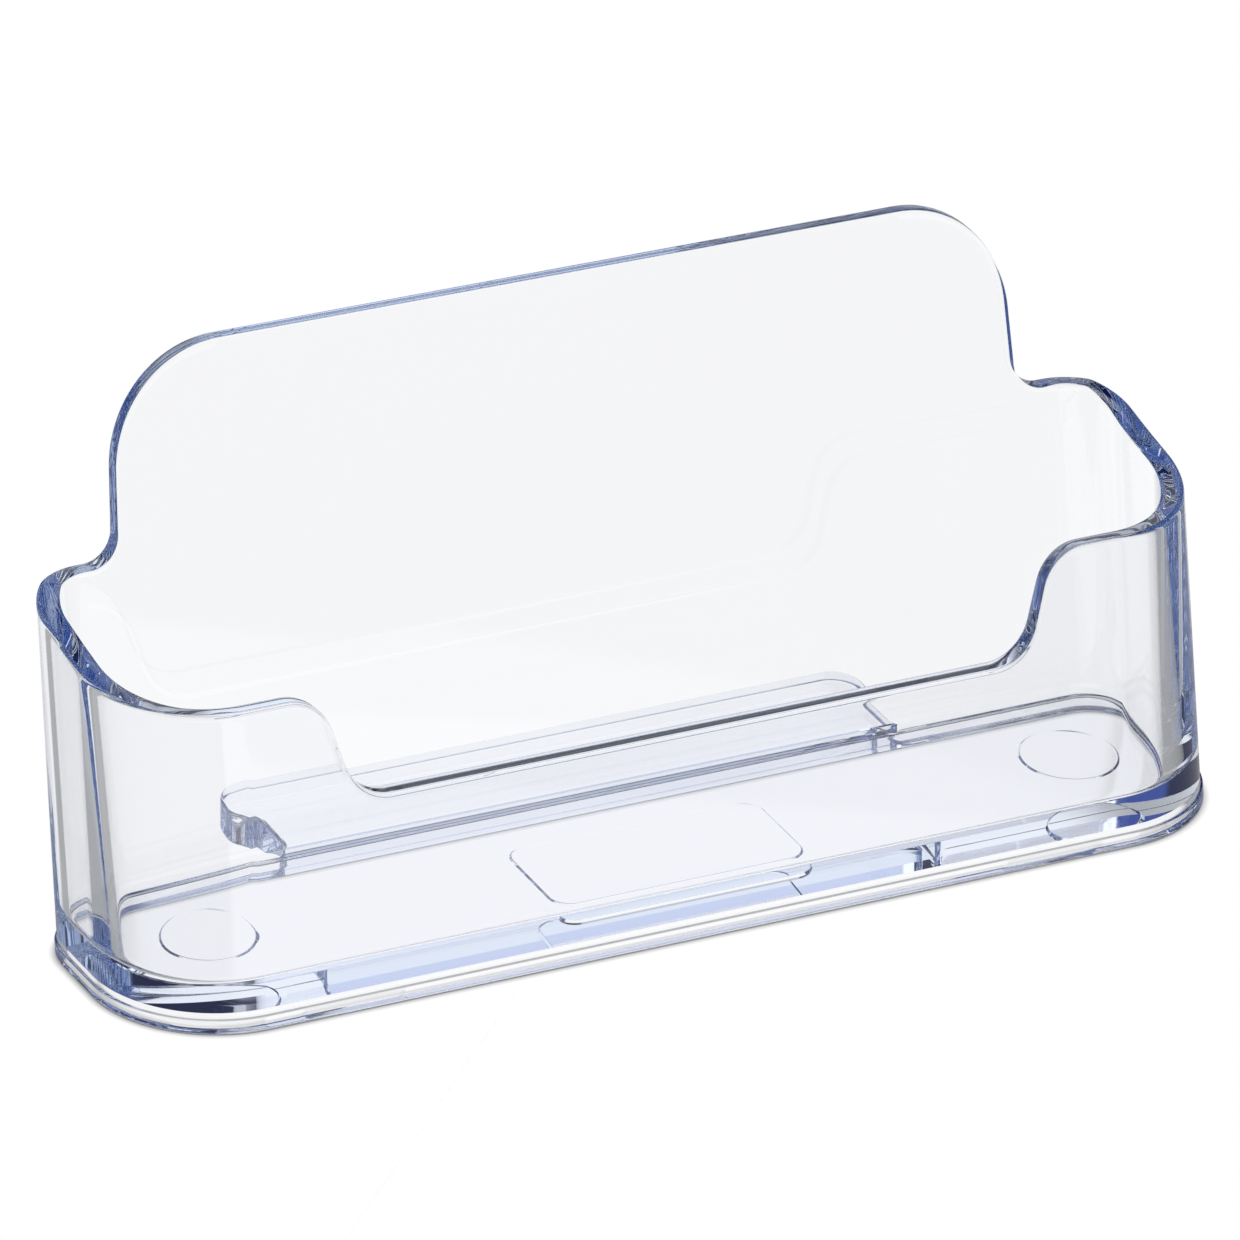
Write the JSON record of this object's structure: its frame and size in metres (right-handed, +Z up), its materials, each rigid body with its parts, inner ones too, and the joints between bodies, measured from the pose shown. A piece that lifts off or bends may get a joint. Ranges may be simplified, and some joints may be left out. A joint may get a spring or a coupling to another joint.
{
  "type": "business card holder",
  "caption": "Clear moulded desktop business card holder: leaning open pocket with a scooped front wall, tall back panel and a rear foot; stands free on a desk.",
  "frame": {"origin": "on the table, at the middle of the footprint of base and rear foot", "axes": "X along the width, left to right from the front; Y from front to back; Z up"},
  "size_m": [0.098, 0.0324, 0.0448],
  "materials": {
    "clear_polystyrene": "clear, polished mould"
  },
  "bodies": {
    "root": {"floor_plate": "clear_polystyrene", "foot_ring": "clear_polystyrene", "front_wall": "clear_polystyrene", "back_panel": "clear_polystyrene", "left_end_wall": "clear_polystyrene", "right_end_wall": "clear_polystyrene", "rear_foot": "clear_polystyrene"}
  },
  "joints": []
}
